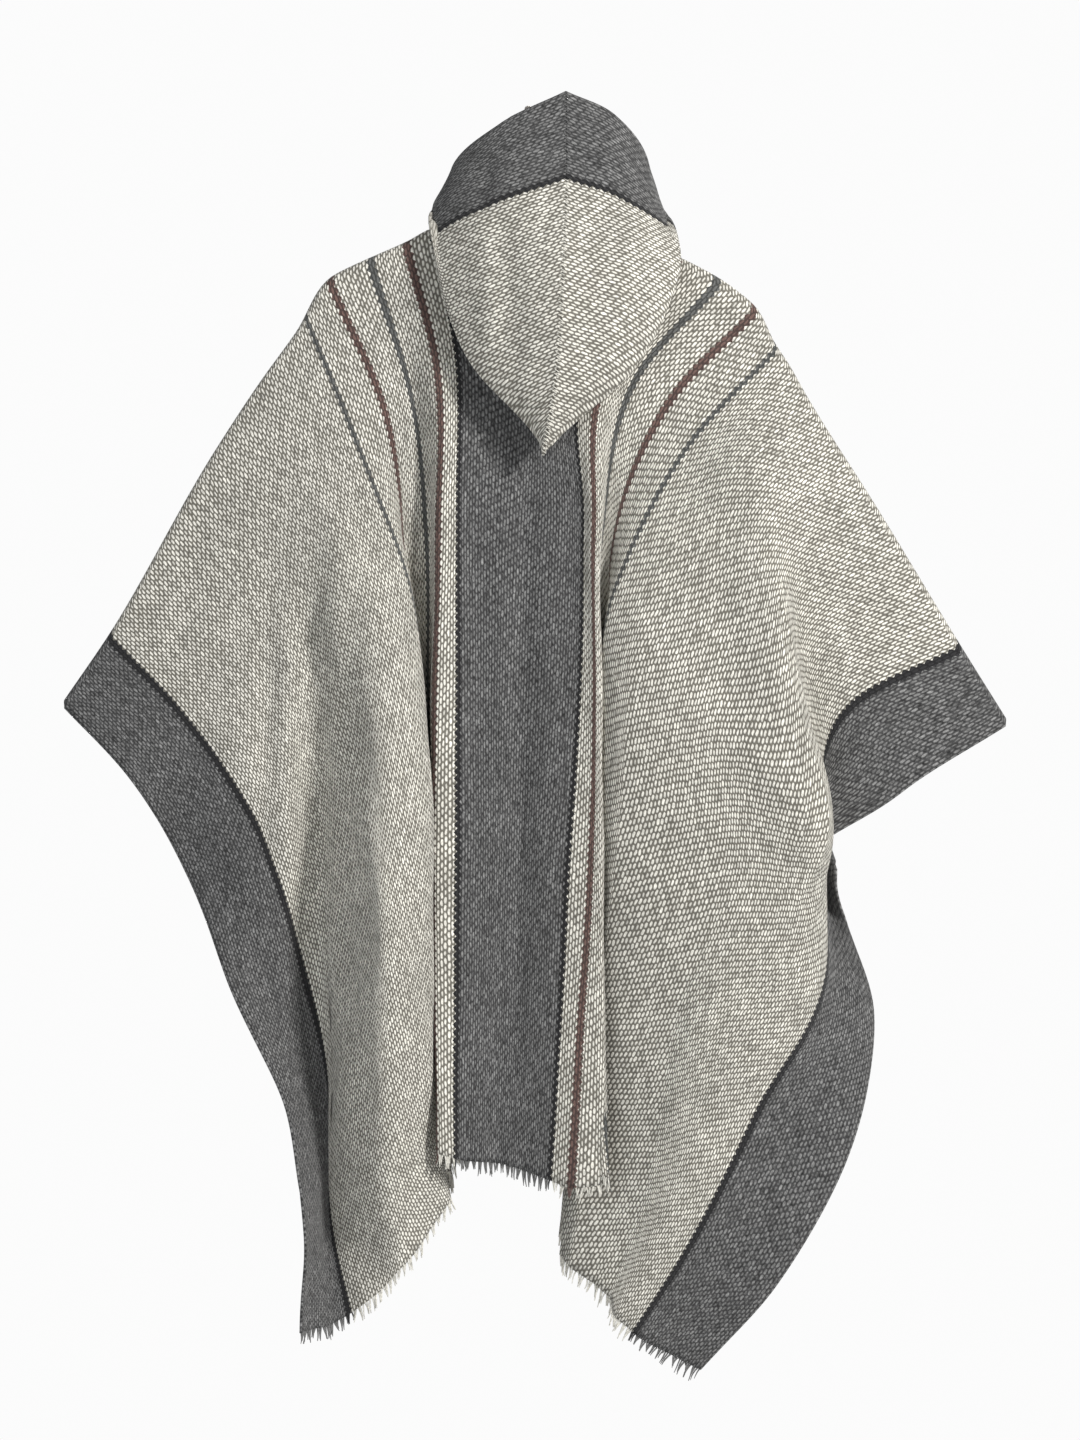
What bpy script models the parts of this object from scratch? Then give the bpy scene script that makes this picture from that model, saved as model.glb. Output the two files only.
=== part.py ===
"""A hooded hand-woven poncho on a wooden coat hanger, metres, +Z up.

The origin is the inner top of the hanger's hook. +X is to the right of someone who looks at the
poncho's back, and the back faces -Y. Down values are measured from the origin, and depth values
from the hanger's middle plane towards the person who looks at the back.
"""

import math
from collections import namedtuple

import bpy
import numpy as np

MM = 0.001

# The web, one rectangle of cloth folded over the shoulders
WEB_DROP = 945.0
CLOTH = 2.4
SEAM_GAP = 0.3
FOLD_RADIUS = 8.0
DEPTH_LEAST = 6.0

# Neck opening: half its width on the web, how deep it opens, and the slit down the front
NECK_HALF = 78.0
NECK_OPEN = 20.0
NECK_SLIT = 95.0
NECK_FADE = 60.0

# Flat distance down from the shoulder fold at which each column of the fold table is given
SECTIONS = (0.0, 130.0, 290.0, 460.0, 640.0, 800.0, 945.0)

# One row for each edge, ridge or valley that runs down the back, from the left selvedge to the
# right one. web is its place on the flat cloth, measured from the centre; across, down and depth
# are where it hangs, at each of the SECTIONS.
Fold = namedtuple("Fold", "name web across down depth")
FOLDS = (
    Fold("left_selvedge", (-713, -713, -713, -713, -713, -713, -713),
         (-488, -423, -362, -317, -259, -243, -249),
         (595, 670, 773, 885, 1008, 1128, 1223),
         (0, 40, 25, 72, 84, 92, 84)),
    Fold("left_border", (-612, -612, -612, -612, -612, -612, -612),
         (-441, -372, -298, -254, -222, -220, -200),
         (526, 605, 711, 838, 978, 1107, 1208),
         (0, 26, 52, 34, 30, 32, 42)),
    Fold("left_valley", (-400, -400, -430, -555, -588, -590, -588),
         (-335, -273, -223, -222, -216, -214, -182),
         (342, 450, 601, 800, 963, 1095, 1195),
         (0, 30, 34, 32, 34, 36, 50)),
    Fold("left_crest", (-320, -320, -335, -410, -455, -490, -520),
         (-291, -235, -181, -170, -166, -162, -145),
         (275, 392, 540, 745, 908, 1044, 1156),
         (0, 34, 64, 102, 110, 88, 60)),
    Fold("left_fold_edge", (-260, -240, -240, -290, -350, -400, -432),
         (-255, -197, -141, -119, -117, -113, -100),
         (225, 334, 487, 692, 872, 1015, 1088),
         (0, 26, 40, 58, 58, 36, 26)),
    Fold("left_inner_turn", (-190, -180, -182, -192, -225, -255, -280),
         (-219, -162, -144, -135, -192, -216, -228),
         (169, 288, 443, 618, 800, 965, 1110),
         (0, 18, 15, 16, 18, 18, 18)),
    Fold("left_under", (-166, -160, -160, -162, -166, -169, -172),
         (-198, -150, -132, -128, -133, -124, -110),
         (158, 280, 434, 602, 777, 933, 1066),
         (0, 17, 13, 11, 9, 9, 9)),
    Fold("left_wall_foot", (-145, -140, -140, -140, -140, -140, -140),
         (-178, -139, -121, -120, -112, -98, -82),
         (149, 273, 425, 588, 760, 915, 1050),
         (0, 16, 12, 12, 14, 20, 28)),
    Fold("left_brown_ridge", (-100, -100, -100, -100, -100, -100, -100),
         (-142, -112, -110, -114, -117, -115, -112),
         (133, 258, 415, 577, 752, 905, 1046),
         (0, 30, 36, 42, 48, 56, 64)),
    Fold("centre_left", (-75, -75, -75, -75, -75, -75, -75),
         (-116, -93, -92, -92, -92, -93, -94),
         (120, 247, 403, 573, 750, 908, 1052),
         (0, 27, 30, 35, 42, 50, 58)),
    Fold("centre", (0, 0, 0, 0, 0, 0, 0),
         (10, -14, -26, -32, -37, -42, -47),
         (160, 268, 414, 578, 755, 914, 1058),
         (0, 20, 23, 27, 34, 42, 48)),
    Fold("centre_right", (75, 75, 75, 75, 75, 75, 75),
         (105, 34, 33, 29, 17, 9, -1),
         (135, 259, 417, 585, 763, 925, 1073),
         (0, 27, 30, 36, 45, 54, 60)),
    Fold("right_brown_ridge", (100, 100, 100, 100, 100, 100, 100),
         (127, 54, 43, 44, 39, 28, 19),
         (148, 267, 420, 588, 768, 930, 1080),
         (0, 28, 36, 43, 52, 62, 68)),
    Fold("strip_edge", (125, 116, 118, 120, 130, 140, 150),
         (147, 67, 49, 50, 52, 54, 62),
         (158, 269, 423, 593, 775, 940, 1072),
         (0, 26, 33, 42, 52, 62, 68)),
    Fold("right_wall_foot", (155, 146, 145, 150, 158, 178, 208),
         (175, 87, 52, 50, 34, 14, -6),
         (174, 269, 427, 600, 780, 938, 1060),
         (0, 18, 15, 16, 30, 35, 36)),
    Fold("right_under", (172, 163, 163, 170, 180, 206, 238),
         (190, 100, 56, 62, 52, 36, 16),
         (185, 277, 433, 606, 785, 942, 1070),
         (0, 17, 13, 12, 10, 9, 9)),
    Fold("right_inner_turn", (190, 180, 182, 192, 245, 290, 338),
         (204, 114, 61, 78, 112, 120, 122),
         (197, 285, 440, 612, 800, 957, 1108),
         (0, 16, 14, 14, 17, 18, 18)),
    Fold("right_fold_edge", (240, 240, 240, 270, 330, 400, 455),
         (227, 145, 66, 49, 42, 27, 9),
         (238, 335, 487, 670, 855, 1010, 1150),
         (0, 24, 34, 36, 30, 25, 26)),
    Fold("right_panel", (262, 300, 400, 430, 450, 500, 530),
         (239, 174, 168, 172, 122, 100, 60),
         (256, 368, 596, 760, 922, 1068, 1190),
         (0, 34, 62, 74, 68, 60, 54)),
    Fold("right_ridge", (300, 385, 562, 545, 540, 560, 575),
         (256, 218, 276, 246, 166, 118, 65),
         (286, 427, 705, 838, 965, 1100, 1210),
         (0, 48, 62, 74, 76, 68, 58)),
    Fold("right_tuck", (450, 480, 590, 590, 590, 595, 598),
         (330, 252, 268, 268, 194, 136, 77),
         (404, 499, 697, 860, 993, 1120, 1220),
         (0, 26, 34, 62, 70, 64, 56)),
    Fold("right_border", (612, 612, 612, 612, 612, 612, 612),
         (410, 303, 268, 274, 206, 144, 83),
         (536, 599, 712, 872, 1005, 1129, 1226),
         (0, 20, 16, 50, 62, 60, 52)),
    Fold("right_selvedge", (713, 713, 713, 713, 713, 713, 713),
         (458, 355, 290, 325, 297, 227, 151),
         (613, 686, 769, 910, 1053, 1178, 1266),
         (0, 18, 24, 12, 40, 44, 22)),
)

# Grid columns between neighbouring folds, and grid rows down the cloth
BACK_COLUMNS = (4, 6, 5, 5, 5, 3, 2, 3, 2, 3, 3, 2, 2, 3, 2, 4, 5, 5, 5, 3, 3, 4)
FRONT_COLUMNS = (3, 5, 4, 4, 4, 2, 2, 2, 2, 3, 3, 2, 2, 2, 2, 3, 4, 4, 4, 2, 2, 3)
FOLD_ROWS = (0.0, 0.5, 1.0)
BACK_ROWS = 17
FRONT_ROWS = 13

# The right selvedge tucks in behind the ridge beside it: how far, where, and over what length
TUCK_ACROSS = 40.0
TUCK_DOWN = 14.0
TUCK_AT = 212.0
TUCK_LENGTH = 38.0

# The front hangs as the back does, mirrored, a little flatter, narrower and shorter
FRONT_DEPTH = 0.78
FRONT_INSET = 0.975
FRONT_RISE = 0.985
FRONT_MIDDLE = -20.0

# Hood. One row for each section from the face edge to the point at the back, on each half:
# along is the part of the way, and crown, cheek, side and under are (across, down, depth).
HoodSection = namedtuple("HoodSection", "along crown cheek side under")
HOOD_LEFT = (
    HoodSection(0.00, (16, -17, 12), (-50, 16, 14), (-99, 62, 0), (-88, 128, -20)),
    HoodSection(0.25, (16, 74, 50), (-55, 88, 46), (-112, 100, 14), (-107, 104, -14)),
    HoodSection(0.50, (12, 172, 82), (-52, 180, 68), (-104, 174, 42), (-120, 115, 22)),
    HoodSection(0.75, (7, 268, 84), (-38, 266, 72), (-80, 256, 52), (-86, 190, 34)),
    HoodSection(1.00, (-7, 351, 58), (-6, 345, 52), (-1, 330, 48), (8, 240, 36)),
)
HOOD_RIGHT = (
    HoodSection(0.00, (16, -17, 12), (66, 8, 14), (99, 56, 0), (96, 128, -20)),
    HoodSection(0.25, (16, 74, 50), (70, 84, 44), (108, 100, 14), (104, 108, -14)),
    HoodSection(0.50, (12, 172, 82), (76, 174, 66), (128, 162, 36), (118, 124, 24)),
    HoodSection(0.75, (7, 268, 84), (54, 265, 70), (88, 257, 50), (98, 192, 34)),
    HoodSection(1.00, (-7, 351, 58), (-6, 345, 52), (-1, 330, 48), (8, 240, 36)),
)
HOOD_ALONG = 13
HOOD_ROUND = 17
HOOD_REACH = (0.0, 0.28, 0.55, 0.8, 1.0)
NECK_SEAM = 4.7
NECK_LAP = 10.0
NECK_LAP_BY = 0.05
NECK_LIFT_BY = 0.2

# Fringe: the strands' pitch, their share of it, their length, and the strip that holds their roots
STRAND_PITCH = 17.0
STRAND_SHARE = 0.5
STRAND_LENGTH = 13.0
STRIP_GAP = 0.9
STRIP_TALL = 2.0
STRIP_THICK = 1.6

# Hanger: the arms' ends, the top of their middle, and the height and thickness of the wood. Stations
# between the middle and the place on the web where the arms start to carry it are evenly spaced, the
# arms sag a little there, and each end is rounded over the last of its length.
ARM_LEFT = -207.0
ARM_RIGHT = 196.0
ARM_TOP = 92.0
ARM_TALL_MIDDLE = 34.0
ARM_TALL_END = 20.0
ARM_THICK = 9.0
ARM_SIDES = 12
ARM_CARRIES_FROM = 112.0
ARM_SAG = 15.0
ARM_FREE_STATIONS = 9
ARM_ROUND = 9.0
ARM_ROUND_STEPS = (9.0, 5.0, 2.0, 0.5)
OVAL_POWER = 0.8

# Hook: bent round wire that ends in a small ball
WIRE = 3.0
HOOK_RADIUS = 22.0
HOOK_STEM = ((0.0, 91.7), (1.0, 72.0), (9.0, 55.0), (19.0, 38.0))
HOOK_SCROLL = ((-25.5, 30.0), (-34.0, 33.5), (-43.0, 28.0), (-46.0, 18.0), (-40.0, 9.0), (-30.0, 4.0))
BALL = 8.0
BALL_CENTRE = (-25.0, 1.5)
BALL_RINGS = 6
ARCH_STEP = 18
WIRE_SIDES = 8
HOOK_STATIONS = 42

# Colours of the pieces
PALE_CLOTH = (0.50, 0.48, 0.43)
DARK_CLOTH = (0.12, 0.12, 0.12)
WOOD = (0.42, 0.26, 0.13)
STEEL = (0.75, 0.74, 0.70)


def clear_scene():
    """Removes what the new file holds."""
    for thing in list(bpy.data.objects):
        bpy.data.objects.remove(thing)


def material(name, colour, roughness, metallic=0.0):
    """One plain Principled material."""
    made = bpy.data.materials.new(name)
    made.use_nodes = True
    shader = made.node_tree.nodes["Principled BSDF"]
    shader.inputs["Base Color"].default_value = (*colour, 1.0)
    shader.inputs["Roughness"].default_value = roughness
    shader.inputs["Metallic"].default_value = metallic
    return made


def add_object(name, points, faces, finish):
    """Makes a mesh object from points in (across, down, depth) millimetres."""
    points = np.asarray(points, dtype=float)
    world = np.column_stack((points[:, 0], -points[:, 2], -points[:, 1])) * MM
    mesh = bpy.data.meshes.new(name)
    mesh.from_pydata(world.tolist(), [], faces)
    mesh.materials.append(finish)
    mesh.update()
    mesh.shade_smooth()
    made = bpy.data.objects.new(name, mesh)
    bpy.context.collection.objects.link(made)
    return made


def smooth(knots, values, at):
    """A smooth curve through values at knots: cubic pieces whose slope at a knot is the mean of
    the slopes on its two sides, weighted by the other side's length."""
    knots = np.asarray(knots, dtype=float)
    values = np.asarray(values, dtype=float)
    at = np.asarray(at, dtype=float)
    steps = np.diff(knots)
    slopes = np.diff(values, axis=0) / steps[:, None]
    tangents = np.empty_like(values)
    tangents[0] = slopes[0]
    tangents[-1] = slopes[-1]
    weight = steps[:-1] + steps[1:]
    tangents[1:-1] = (slopes[:-1] * steps[1:, None] + slopes[1:] * steps[:-1, None]) / weight[:, None]
    piece = np.clip(np.searchsorted(knots, at, side="right") - 1, 0, len(knots) - 2)
    step = steps[piece][:, None]
    f = ((at - knots[piece]) / steps[piece])[:, None]
    return ((2 * f**3 - 3 * f**2 + 1) * values[piece] + (f**3 - 2 * f**2 + f) * step * tangents[piece]
            + (3 * f**2 - 2 * f**3) * values[piece + 1] + (f**3 - f**2) * step * tangents[piece + 1])


def fold_lines(front):
    """Each fold's (web, across, down, depth) at each section. On the front it is set in towards
    the middle, raised and flattened."""
    lines = np.array([np.column_stack((f.web, f.across, f.down, f.depth)) for f in FOLDS], dtype=float)
    if front:
        shoulder = lines[:, :1]
        hang = np.clip(np.array(SECTIONS) / SECTIONS[2], 0.0, 1.0)[None, :]
        inset = FRONT_MIDDLE + (lines[:, :, 1] - FRONT_MIDDLE) * FRONT_INSET
        lines[:, :, 1] += (inset - lines[:, :, 1]) * hang
        raised = shoulder[:, :, 2] + (lines[:, :, 2] - shoulder[:, :, 2]) * FRONT_RISE
        lines[:, :, 2] += (raised - lines[:, :, 2]) * hang
        lines[:, :, 3] *= FRONT_DEPTH
    return lines


def web_columns(columns):
    """Places across the fold table for the grid's columns: whole numbers are folds."""
    places = [k + j / count for k, count in enumerate(columns) for j in range(count)]
    return np.array(places + [len(columns)])


def hang_row(lines, places, drop):
    """One row of the hanging cloth, drop below the shoulder fold on the flat web. Below the
    rounded fold each fold line is a smooth curve through its sections, and the row is a smooth
    curve through the fold lines."""
    quarter = FOLD_RADIUS * math.pi / 2
    knots = (quarter,) + SECTIONS[1:]
    start = lines[:, 0].copy()
    start[:, 2] += FOLD_RADIUS
    start[:, 3] = FOLD_RADIUS
    below = np.concatenate((start[:, None], lines[:, 1:]), axis=1)
    if drop < quarter:
        angle = drop / FOLD_RADIUS
        stations = lines[:, 0].copy()
        stations[:, 2] += FOLD_RADIUS * (1 - math.cos(angle))
        stations[:, 3] = FOLD_RADIUS * math.sin(angle)
    else:
        stations = np.array([smooth(knots, line, [drop])[0] for line in below])
    tuck = math.exp(-((drop - TUCK_AT) / TUCK_LENGTH) ** 2)
    stations[-1, 1] -= TUCK_ACROSS * tuck
    stations[-1, 2] += TUCK_DOWN * tuck
    web = np.interp(places, np.arange(len(lines)), stations[:, 0])
    row = smooth(stations[:, 0], stations[:, 1:], web)
    row[:, 2] = np.maximum(row[:, 2], min(drop, DEPTH_LEAST))
    opened = np.clip(1 - (web / NECK_HALF) ** 2, 0, 1) * math.exp(-(drop / NECK_FADE) ** 2)
    row[:, 2] += (NECK_OPEN - row[:, 2]) * opened
    return row


def hang_cloth(front, columns, rows):
    """The middle surface of one half of the web, as a grid of (across, down, depth). The front
    starts lower at the neck, where the slit is."""
    lines = fold_lines(front)
    places = web_columns(columns)
    quarter = FOLD_RADIUS * math.pi / 2
    drops = [quarter * f for f in FOLD_ROWS]
    drops += [quarter + (WEB_DROP - quarter) * (j / rows) for j in range(1, rows + 1)]
    grid = []
    for drop in drops:
        grid.append(hang_row(lines, places, drop))
    grid = np.array(grid)
    if front:
        for k in np.flatnonzero(np.abs(web_flat(lines, places)) < NECK_HALF):
            web = web_flat(lines, places)[k]
            slit = NECK_SLIT * (1 - abs(web) / NECK_HALF)
            lowered = [slit + (WEB_DROP - slit) * drop / WEB_DROP for drop in drops]
            grid[:, k] = smooth(drops, grid[:, k], lowered)
        grid[:, :, 2] *= -1
    return grid


def web_flat(lines, places):
    """Flat place of each grid column at the shoulder."""
    return np.interp(places, np.arange(len(lines)), lines[:, 0, 0])


def grid_normals(grid):
    """Unit normals of a grid surface, from the differences of neighbouring points."""
    down = np.gradient(grid, axis=0)
    across = np.gradient(grid, axis=1)
    normal = np.cross(across, down)
    return normal / np.maximum(np.linalg.norm(normal, axis=2, keepdims=True), 1e-9)


def wall_mesh(outer, inner):
    """A closed wall between two grids of the same size, with faces that point out."""
    rows, columns = outer.shape[:2]
    points = np.concatenate((outer.reshape(-1, 3), inner.reshape(-1, 3)))
    index = np.arange(rows * columns).reshape(rows, columns)
    back = index + rows * columns
    faces = []
    for i in range(rows - 1):
        for j in range(columns - 1):
            faces.append((index[i, j], index[i + 1, j], index[i + 1, j + 1], index[i, j + 1]))
            faces.append((back[i, j], back[i, j + 1], back[i + 1, j + 1], back[i + 1, j]))
    for j in range(columns - 1):
        faces.append((index[0, j], index[0, j + 1], back[0, j + 1], back[0, j]))
        faces.append((index[-1, j + 1], index[-1, j], back[-1, j], back[-1, j + 1]))
    for i in range(rows - 1):
        faces.append((index[i + 1, 0], index[i, 0], back[i, 0], back[i + 1, 0]))
        faces.append((index[i, -1], index[i + 1, -1], back[i + 1, -1], back[i, -1]))
    return points, [tuple(int(v) for v in face) for face in faces]


def point_outwards(thing):
    """Turns all of a closed object's faces round when its volume comes out negative."""
    mesh = thing.data
    mesh.calc_loop_triangles()
    volume = 0.0
    for triangle in mesh.loop_triangles:
        a, b, c = (mesh.vertices[v].co for v in triangle.vertices)
        volume += a.dot(b.cross(c))
    if volume < 0:
        mesh.flip_normals()


def make_half_web(name, front, columns, rows, finish):
    """One half of the web as a wall of cloth, kept clear of the other half at the shoulder."""
    grid = hang_cloth(front, columns, rows)
    normal = grid_normals(grid)
    outer = grid + normal * CLOTH / 2
    inner = grid - normal * CLOTH / 2
    for side in (outer, inner):
        if front:
            side[:, :, 2] = np.minimum(side[:, :, 2], -SEAM_GAP / 2)
        else:
            side[:, :, 2] = np.maximum(side[:, :, 2], SEAM_GAP / 2)
    made = add_object(name, *wall_mesh(outer, inner), finish)
    point_outwards(made)
    return grid, normal


def neck_edge(back, front, columns, sign):
    """The neck's edge on one side of the centre, from the front's slit round to the back's
    middle, as (across, down, depth) points."""
    lines = fold_lines(False)
    flat = web_flat(lines, web_columns(columns[0]))
    flat_front = web_flat(lines, web_columns(columns[1]))
    on_back = [k for k in range(len(flat)) if -1 <= flat[k] * sign <= NECK_HALF]
    on_front = [k for k in range(len(flat_front)) if -1 <= flat_front[k] * sign <= NECK_HALF]
    on_front.sort(key=lambda k: abs(flat_front[k]))
    on_back.sort(key=lambda k: -abs(flat[k]))
    return front[0, on_front], back[0, on_back]


def resample(points, shares):
    """Points at the given shares of a polyline's length."""
    length = np.concatenate(([0], np.cumsum(np.linalg.norm(np.diff(points, axis=0), axis=1))))
    return np.column_stack([np.interp(np.asarray(shares) * length[-1], length, points[:, k]) for k in range(3)])


def hood_grid(sections, neck):
    """The middle surface of one half of the hood: rows go from the face edge to the point, and
    each row goes from the crown seam, round the side, to the neck's edge."""
    along = np.linspace(0, 1, HOOD_ALONG)
    knots = [s.along for s in sections]
    crown, cheek, side, under = (smooth(knots, [s[k] for s in sections], along) for k in range(1, 5))
    on_front = along < 0.5
    ends = np.concatenate((resample(neck[0], along[on_front] * 2), resample(neck[1], along[~on_front] * 2 - 1)))
    ends[:, 1] -= NECK_SEAM * (1 - np.clip((along - 0.5) / NECK_LIFT_BY, 0, 1))
    ends[:, 2] += NECK_LAP * np.clip((along - 0.5) / NECK_LAP_BY, 0, 1)
    reach = np.linspace(0, 1, HOOD_ROUND)
    return np.array([smooth(HOOD_REACH, np.array(stops), reach)
                     for stops in zip(crown, cheek, side, under, ends)])


def seam_across(side, slit_end):
    """Where the seam between the hood's halves lies across: on the crown at a point's height, and
    at the end of the neck's slit on the front."""
    knots = [s.crown[1] for s in HOOD_LEFT]
    crown = np.interp(side[:, :, 1], knots, [s.crown[0] for s in HOOD_LEFT])
    return np.where(side[:, :, 2] < 0, slit_end, crown)


def make_hood_half(name, sections, neck, sign, finish):
    """One half of the hood as a wall, cut clear of the other half at the crown seam."""
    grid = hood_grid(sections, neck)
    normal = grid_normals(grid)
    outer = grid + normal * CLOTH / 2
    inner = grid - normal * CLOTH / 2
    for side in (outer, inner):
        seam = seam_across(side, neck[0][0, 0]) + sign * SEAM_GAP / 2
        side[:, :, 0] = np.minimum(side[:, :, 0], seam) if sign < 0 else np.maximum(side[:, :, 0], seam)
    made = add_object(name, *wall_mesh(outer, inner), finish)
    point_outwards(made)


def make_fringe(name, grid, normal, finish):
    """The free warp ends along a hem. A strip continues the cloth just below its edge, with one
    or more strands to each column of the cloth's grid, and each strand is drawn down to a point
    from the strip's lower face."""
    edge = grid[-1]
    drop = edge - grid[-2]
    drop /= np.linalg.norm(drop, axis=1, keepdims=True)
    lengths = np.linalg.norm(np.diff(edge, axis=0), axis=1)
    places = []
    rooted = []
    for k, length in enumerate(lengths):
        strands = max(1, round(length / STRAND_PITCH))
        for j in range(strands):
            places += [k + j / strands, k + (j + 1 - STRAND_SHARE) / strands]
            rooted += [False, True]
    places = np.array(places + [float(len(lengths))])
    whole = np.minimum(places.astype(int), len(lengths) - 1)
    part = (places - whole)[:, None]
    along, down, side = (v[whole] * (1 - part) + v[whole + 1] * part for v in (edge, drop, normal[-1]))
    turn = np.zeros(len(edge))
    turn[1:-1] = (1 - (normal[-1, :-2] * normal[-1, 2:]).sum(axis=1)) / 2
    step = np.abs(np.diff(edge[:, 1]))
    lower = turn * np.maximum(np.append(step, 0), np.insert(step, 0, 0))
    lower = np.interp(places, np.arange(len(edge)), lower)[:, None]
    half = side * STRIP_THICK / 2
    top = along + down * (STRIP_GAP + lower)
    low = top + down * STRIP_TALL
    points = np.stack((top + half, top - half, low - half, low + half), axis=1).reshape(-1, 3)
    faces = []
    tips = []
    for j in range(len(places) - 1):
        a, b = 4 * j, 4 * (j + 1)
        faces += [(a + i, a + i + 1, b + i + 1, b + i) for i in range(2)]
        faces.append((a + 3, a, b, b + 3))
        root = (a + 2, a + 3, b + 3, b + 2)
        if not rooted[j]:
            faces.append(root)
            continue
        tips.append((low[j] + low[j + 1]) / 2 + down[j] * STRAND_LENGTH)
        tip = 4 * len(places) + len(tips) - 1
        faces += [(root[i], root[(i + 1) % 4], tip) for i in range(4)]
    faces.append((3, 2, 1, 0))
    last = 4 * (len(places) - 1)
    faces.append((last, last + 1, last + 2, last + 3))
    made = add_object(name, np.concatenate((points, tips)), faces, finish)
    point_outwards(made)


def make_arms(shoulder, flat, finish):
    """The wooden arms: an oval carried from one end over the middle to the other. Where they carry
    the cloth, their top lies just under its shoulder line, which is given with its flat places.
    Nearer the middle it rises to the hook in a slightly sagging line, clear of the hood."""
    slope = np.gradient(shoulder[:, 1]) / np.gradient(shoulder[:, 0])
    seat = shoulder[:, 1] + (CLOTH / 2 + SEAM_GAP) * np.sqrt(1 + slope**2)
    sides = []
    for sign, end in ((-1, ARM_LEFT), (1, ARM_RIGHT)):
        last = abs(end) - ARM_ROUND
        carried = (flat * sign >= ARM_CARRIES_FROM) & (shoulder[:, 0] * sign < last)
        across = shoulder[carried, 0]
        across = across[np.argsort(np.abs(across))]
        free = np.linspace(0, across[0], ARM_FREE_STATIONS)[:-1]
        beyond = [end - sign * step for step in ARM_ROUND_STEPS]
        across = np.concatenate((free, across, beyond))
        down = np.interp(across, shoulder[:, 0], seat)
        rise = free / across[len(free)]
        sag = ARM_SAG * np.sin(math.pi * rise) * rise
        down[:len(free)] = ARM_TOP + (down[len(free)] - ARM_TOP) * rise + sag
        sides.append(np.column_stack((across, down, np.abs(across / end))))
    stations = np.concatenate((sides[0][:0:-1], sides[1]))
    reach = np.where(stations[:, 0] < 0, -ARM_LEFT, ARM_RIGHT) - np.abs(stations[:, 0])
    rounded = np.sqrt(1 - (1 - np.clip(reach / ARM_ROUND, 0, 1)) ** 2)
    tall = ARM_TALL_MIDDLE + (ARM_TALL_END - ARM_TALL_MIDDLE) * stations[:, 2]
    turn = np.arange(ARM_SIDES) * 2 * math.pi / ARM_SIDES
    ring_down = np.sign(np.sin(turn)) * np.abs(np.sin(turn)) ** OVAL_POWER
    ring_depth = np.sign(np.cos(turn)) * np.abs(np.cos(turn)) ** OVAL_POWER
    points = []
    for place, height, share in zip(stations, tall, rounded):
        down = place[1] + height / 2 + ring_down * height / 2 * share
        depth = ring_depth * ARM_THICK / 2 * share
        points.append(np.column_stack((np.full(ARM_SIDES, place[0]), down, depth)))
    made = add_object("hanger", np.concatenate(points), tube_faces(len(stations), ARM_SIDES), finish)
    point_outwards(made)


def tube_faces(stations, sides):
    """Faces of a tube of rings, with a flat cap on each end."""
    faces = []
    for i in range(stations - 1):
        for j in range(sides):
            k = (j + 1) % sides
            faces.append((i * sides + j, i * sides + k, (i + 1) * sides + k, (i + 1) * sides + j))
    faces.append(tuple(reversed(range(sides))))
    faces.append(tuple((stations - 1) * sides + j for j in range(sides)))
    return faces


def make_hook(finish):
    """The wire hook: up the stem, over the arch, down into a small scroll, and out to a ball,
    made as one turned tube whose radius swells at its end."""
    arch = [(HOOK_RADIUS * math.cos(a), HOOK_RADIUS - WIRE / 2 - HOOK_RADIUS * math.sin(a))
            for a in np.radians(np.arange(0, 181, ARCH_STEP))]
    route = np.array(list(HOOK_STEM) + arch + list(HOOK_SCROLL) + [BALL_CENTRE], dtype=float)
    length = np.concatenate(([0], np.cumsum(np.linalg.norm(np.diff(route, axis=0), axis=1))))
    fine = smooth(length, route, np.linspace(0, length[-1], HOOK_STATIONS))
    heading = np.gradient(fine, axis=0)
    heading /= np.linalg.norm(heading, axis=1, keepdims=True)
    steps = np.linspace(0, math.pi, BALL_RINGS + 2)[1:-1]
    neck = math.asin(WIRE / BALL)
    last = fine[-1]
    ball = [last + heading[-1] * BALL / 2 * (math.cos(neck) - math.cos(a)) for a in steps]
    radii = [WIRE / 2] * (len(fine) - 1) + [BALL / 2 * math.sin(a) for a in steps]
    centres = np.concatenate((fine[:-1], np.array(ball)))
    heading = np.concatenate((heading[:-1], np.repeat(heading[-1:], len(ball), axis=0)))
    side = np.column_stack((-heading[:, 1], heading[:, 0]))
    turn = np.arange(WIRE_SIDES) * 2 * math.pi / WIRE_SIDES
    points = []
    for centre, out, radius in zip(centres, side, radii):
        flat = centre + np.outer(np.cos(turn) * radius, out)
        points.append(np.column_stack((flat, np.sin(turn) * radius)))
    made = add_object("hanger_hook", np.concatenate(points), tube_faces(len(centres), WIRE_SIDES), finish)
    point_outwards(made)


def build():
    """Makes every piece in the order of sewing and hanging."""
    clear_scene()
    pale = material("pale_cloth", PALE_CLOTH, 0.95)
    dark = material("dark_cloth", DARK_CLOTH, 0.95)
    wood = material("wood", WOOD, 0.5)
    steel = material("steel", STEEL, 0.3, 1.0)
    back, back_normal = make_half_web("back", False, BACK_COLUMNS, BACK_ROWS, pale)
    front, front_normal = make_half_web("front", True, FRONT_COLUMNS, FRONT_ROWS, pale)
    columns = (BACK_COLUMNS, FRONT_COLUMNS)
    make_hood_half("hood_left", HOOD_LEFT, neck_edge(back, front, columns, -1), -1, dark)
    make_hood_half("hood_right", HOOD_RIGHT, neck_edge(back, front, columns, 1), 1, dark)
    make_fringe("back_fringe", back, back_normal, dark)
    make_fringe("front_fringe", front, front_normal, dark)
    make_arms(back[0], web_flat(fold_lines(False), web_columns(BACK_COLUMNS)), wood)
    make_hook(steel)


build()
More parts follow.
